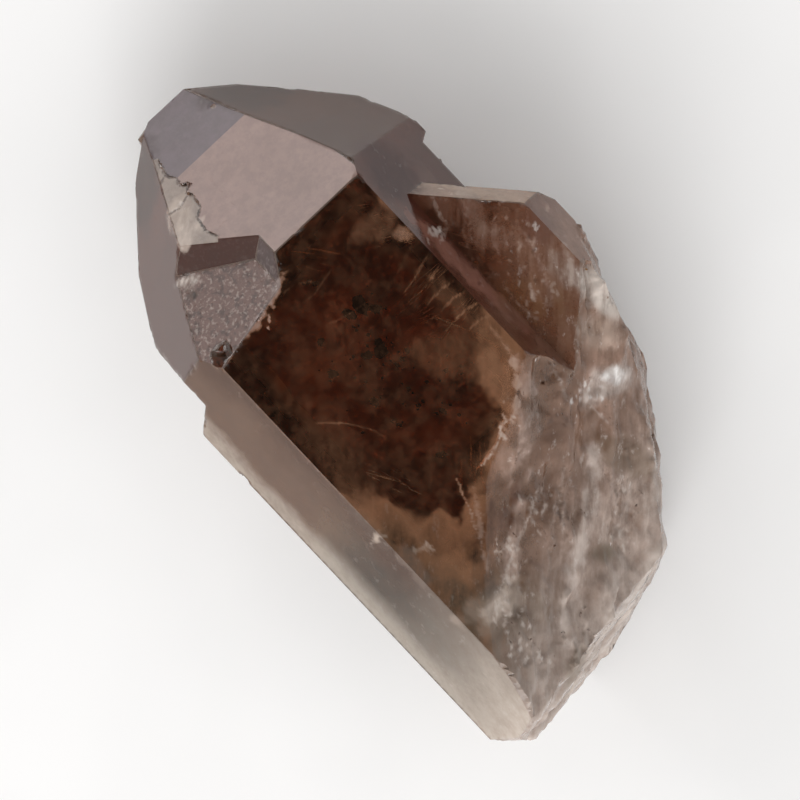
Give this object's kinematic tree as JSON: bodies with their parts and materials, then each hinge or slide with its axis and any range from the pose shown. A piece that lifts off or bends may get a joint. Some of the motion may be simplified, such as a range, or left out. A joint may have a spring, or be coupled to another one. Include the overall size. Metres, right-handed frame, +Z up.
{
  "type": "smoky quartz crystal",
  "caption": "Single pointed smoky quartz crystal lying on a prism face, with an etched step near its tip, a smaller parallel crystal grown on its side and a broken milky base.",
  "frame": {"origin": "on the flat prism face the crystal rests on, under the middle of its bounding box", "axes": "+X along the crystal's long axis towards the tip, +Z up, +Y towards the plain long side, away from the smaller crystal"},
  "size_m": [0.0695, 0.04, 0.0291],
  "materials": {
    "smoky_quartz": "natural crystal faces, glassy to satin, dark see-through brown, turning milky and rough at the broken base"
  },
  "bodies": {
    "root": {"quartz_crystal": "smoky_quartz"}
  },
  "joints": []
}
